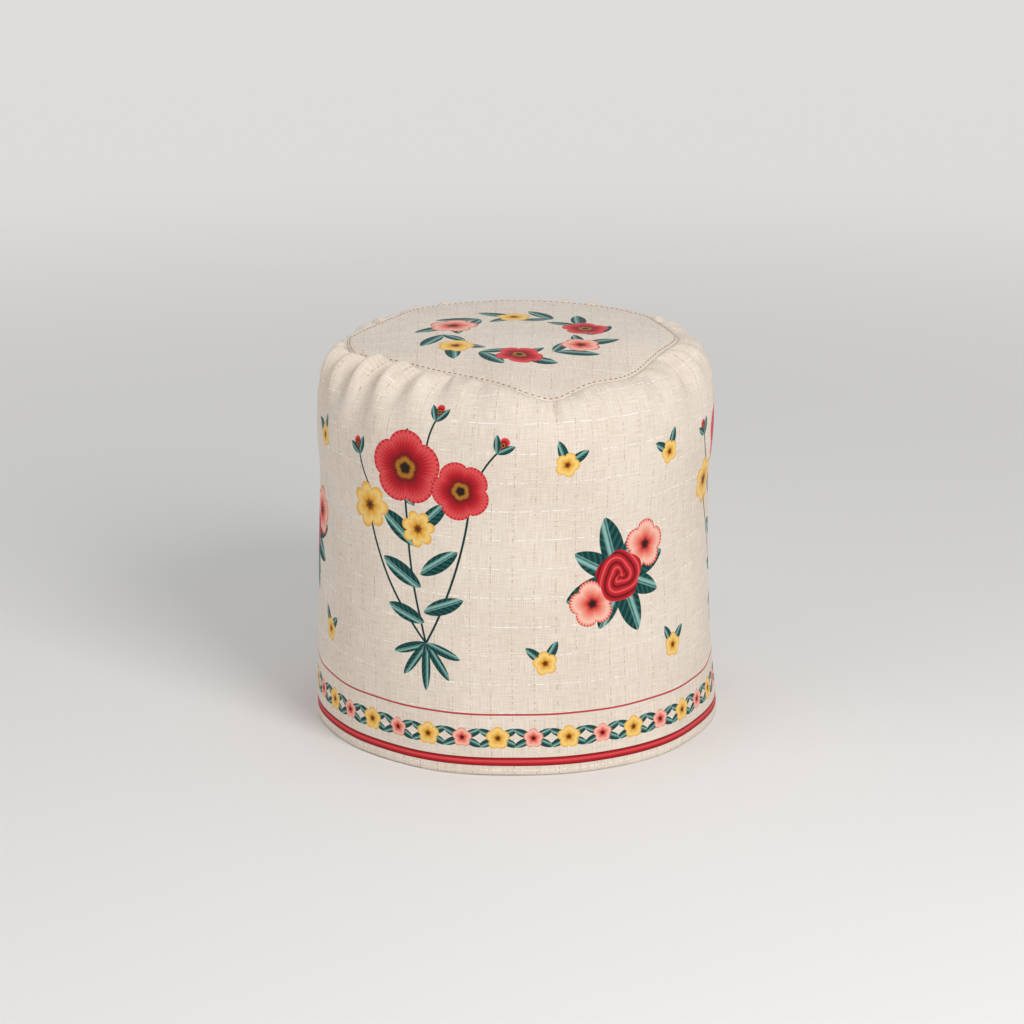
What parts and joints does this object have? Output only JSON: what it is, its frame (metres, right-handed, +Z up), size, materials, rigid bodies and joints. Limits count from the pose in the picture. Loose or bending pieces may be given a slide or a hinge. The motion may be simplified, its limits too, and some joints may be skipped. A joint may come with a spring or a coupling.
{
  "type": "covered rice cooker",
  "caption": "Round gathered cloth dust cover over a drum rice cooker with lift-off glass lid, lift-out pot, press-down cook lever, heating plate and side handles.",
  "frame": {"origin": "on the surface that the cooker stands on, under the middle of the drum", "axes": "+Z up, -Y the front with the cook switch, +X to the viewer's right"},
  "size_m": [0.3204, 0.321, 0.3115],
  "materials": {
    "cloth": "cream slub cotton with a floral print",
    "foot_rubber": "matt",
    "black_plastic": "fine grain",
    "drum_paint": "gloss warm white",
    "sheet_steel": "rolled",
    "screw_steel": "plated",
    "pot_aluminium": "spun",
    "ferrite_iron": "sintered",
    "contact_brass": "plain",
    "lid_glass_clear": "clear, toughened",
    "amber_lens": "clear",
    "green_lens": "clear",
    "red_lead": "insulation",
    "blue_lead": "insulation",
    "white_sleeve": "glass-fibre sleeve"
  },
  "bodies": {
    "base": {"rubber_feet": "foot_rubber", "base_tray": "black_plastic", "rim_ring": "black_plastic", "control_panel": "black_plastic", "power_inlet": "black_plastic", "left_handle": "black_plastic", "right_handle": "black_plastic", "contact_switch": "black_plastic", "drum_shell": "drum_paint", "inner_barrel": "sheet_steel", "lever_bracket": "sheet_steel", "sensor_tube": "sheet_steel", "keep_warm_band": "sheet_steel", "foot_screws": "screw_steel", "plate_screws": "screw_steel", "inlet_screws": "screw_steel", "handle_screws": "screw_steel", "lever_pin": "screw_steel", "plate_standoffs": "screw_steel", "sensor_spring": "screw_steel", "heating_element": "screw_steel", "heating_plate": "pot_aluminium", "inlet_contacts": "contact_brass", "indicator_lamps": "lid_glass_clear", "cook_lens": "amber_lens", "warm_lens": "green_lens", "live_lead": "red_lead", "switched_lead": "red_lead", "neutral_lead": "blue_lead", "thermal_fuse": "white_sleeve"},
    "sensor": {"sensor_cap": "pot_aluminium", "ferrite_disc": "ferrite_iron"},
    "magnet": {"magnet_plunger": "screw_steel"},
    "lever": {"cook_lever": "sheet_steel", "lever_paddle": "black_plastic"},
    "pot": {"inner_pot": "pot_aluminium"},
    "lid": {"lid_glass": "lid_glass_clear", "lid_rim": "sheet_steel", "lid_knob": "black_plastic", "knob_collar": "black_plastic", "knob_screw": "screw_steel", "vent_eyelet": "screw_steel"},
    "cover": {"cover_top_panel": "cloth", "cover_side_panel": "cloth"}
  },
  "joints": [
    {"name": "pot_lift", "type": "slide", "parent": "base", "child": "pot", "axis": [0, 0, 1], "range_m": [0, 0.165]},
    {"name": "lid_lift", "type": "slide", "parent": "pot", "child": "lid", "axis": [0, 0, 1], "range_m": [0, 0.12]},
    {"name": "cover_lift", "type": "slide", "parent": "lid", "child": "cover", "axis": [0, 0, 1], "range_m": [0, 0.33]},
    {"name": "cook_lever", "type": "hinge", "parent": "base", "child": "lever", "pos_m": [0, -0.07, 0.05], "axis": [1, 0, 0], "range_deg": [0, 6], "stiffness_Nm_per_rad": 0.5, "springref_deg": -2.86},
    {"name": "magnet_lift", "type": "slide", "parent": "base", "child": "magnet", "axis": [0, 0, 1], "range_m": [0, 0.0078]},
    {"name": "sensor_rise", "type": "slide", "parent": "base", "child": "sensor", "axis": [0, 0, 1], "range_m": [0, 0.003], "deforming": ["sensor_spring"]}
  ],
  "couplings": [
    {"joint": "magnet_lift", "follows": "cook_lever", "m_per_rad": 0.07316},
    {"joint": "sensor_rise", "follows": "pot_lift", "ratio": 0.018182}
  ]
}
